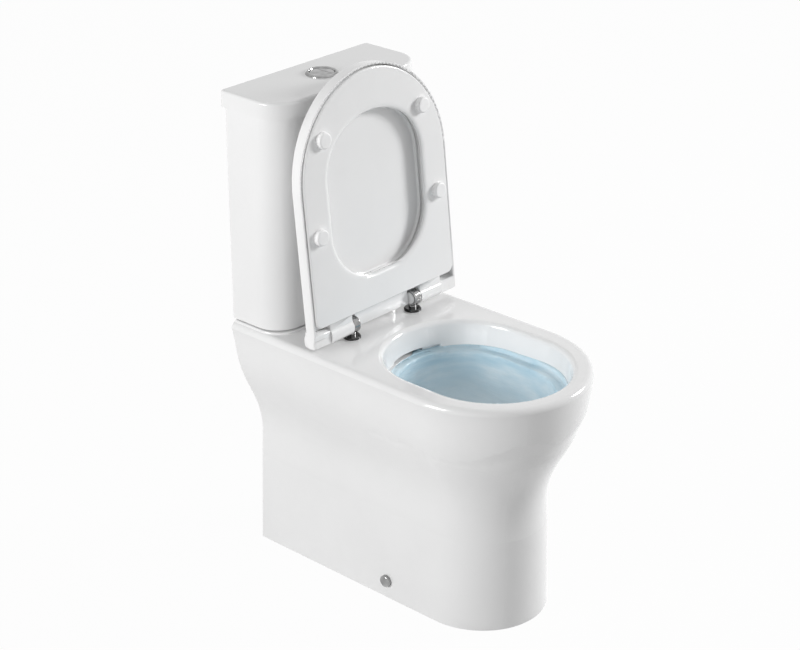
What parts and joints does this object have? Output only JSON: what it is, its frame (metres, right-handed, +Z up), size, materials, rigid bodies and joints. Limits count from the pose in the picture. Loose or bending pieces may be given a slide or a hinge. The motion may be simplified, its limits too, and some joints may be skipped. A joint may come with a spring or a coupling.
{
  "type": "rimless toilet",
  "caption": "Close-coupled rimless toilet: skirted ceramic pan with open bowl and trapway, cistern with dual flush button, and a soft-close seat standing raised.",
  "frame": {"origin": "on the floor, under the middle of the whole object's width and depth", "axes": "+Z up, +Y towards the wall behind the cistern, +X to the right when facing the wall"},
  "size_m": [0.358, 0.6209, 0.9166],
  "materials": {
    "ceramic": "gloss white glaze",
    "seat": "gloss white moulding",
    "buffer": "soft white",
    "chrome": "polished",
    "rubber": "matt black",
    "steel": "plain zinc",
    "valve": "satin moulding",
    "fixing": "satin moulding"
  },
  "bodies": {
    "pan": {"pan": "ceramic", "cistern": "ceramic", "hinge_caps": "seat", "hinge_post_left": "chrome", "hinge_post_right": "chrome", "hinge_bases": "chrome", "side_caps": "chrome", "coupling_gasket": "rubber", "bolt_washers": "rubber", "cistern_pads": "rubber", "deck_washers": "rubber", "inlet_washer": "rubber", "stud_washers": "rubber", "cistern_bolts": "steel", "side_screws": "steel", "hinge_pins": "steel", "flush_valve_base": "valve", "flush_valve_head": "valve", "fill_valve": "valve", "floor_brackets": "fixing", "wing_nuts": "fixing", "stud_nuts": "fixing", "flush_backnut": "fixing", "inlet_backnut": "fixing"},
    "cover": {"seat_cover": "seat", "cover_buffers": "buffer", "cover_damper": "fixing", "cover_bush": "fixing"},
    "ring": {"seat_ring": "seat", "seat_buffers": "buffer", "ring_damper": "fixing", "ring_bush": "fixing"},
    "full_key": {"button_full": "chrome", "full_rod": "valve"},
    "half_key": {"button_half": "chrome", "half_rod": "valve"},
    "overflow": {"overflow_tube": "valve", "flush_seal": "rubber"},
    "float": {"fill_float": "valve"},
    "lid": {"cistern_lid": "ceramic", "button_bezel": "chrome", "button_nut": "fixing"}
  },
  "joints": [
    {"name": "cover_hinge", "type": "hinge", "parent": "pan", "child": "cover", "pos_m": [0, 0.107, 0.479], "axis": [1, 0, 0], "range_deg": [0, 96.1]},
    {"name": "ring_hinge", "type": "hinge", "parent": "cover", "child": "ring", "pos_m": [0, 0.107, 0.479], "axis": [-1, 0, 0], "range_deg": [-96.1, 0]},
    {"name": "lid_lift", "type": "slide", "parent": "pan", "child": "lid", "axis": [0, 0, 1], "range_m": [0, 0.08]},
    {"name": "full_key_press", "type": "slide", "parent": "lid", "child": "full_key", "axis": [0, 0, -1], "range_m": [0, 0.006], "stiffness_N_per_m": 400, "springref_m": -0.012},
    {"name": "half_key_press", "type": "slide", "parent": "lid", "child": "half_key", "axis": [0, 0, -1], "range_m": [0, 0.006], "stiffness_N_per_m": 400, "springref_m": -0.012},
    {"name": "overflow_lift", "type": "slide", "parent": "pan", "child": "overflow", "axis": [0, 0, 1], "range_m": [0, 0.02]},
    {"name": "float_rise", "type": "slide", "parent": "pan", "child": "float", "axis": [0, 0, 1], "range_m": [0, 0.06]}
  ],
  "couplings": [
    {"joint": "overflow_lift", "follows": "full_key_press", "ratio": 3}
  ]
}
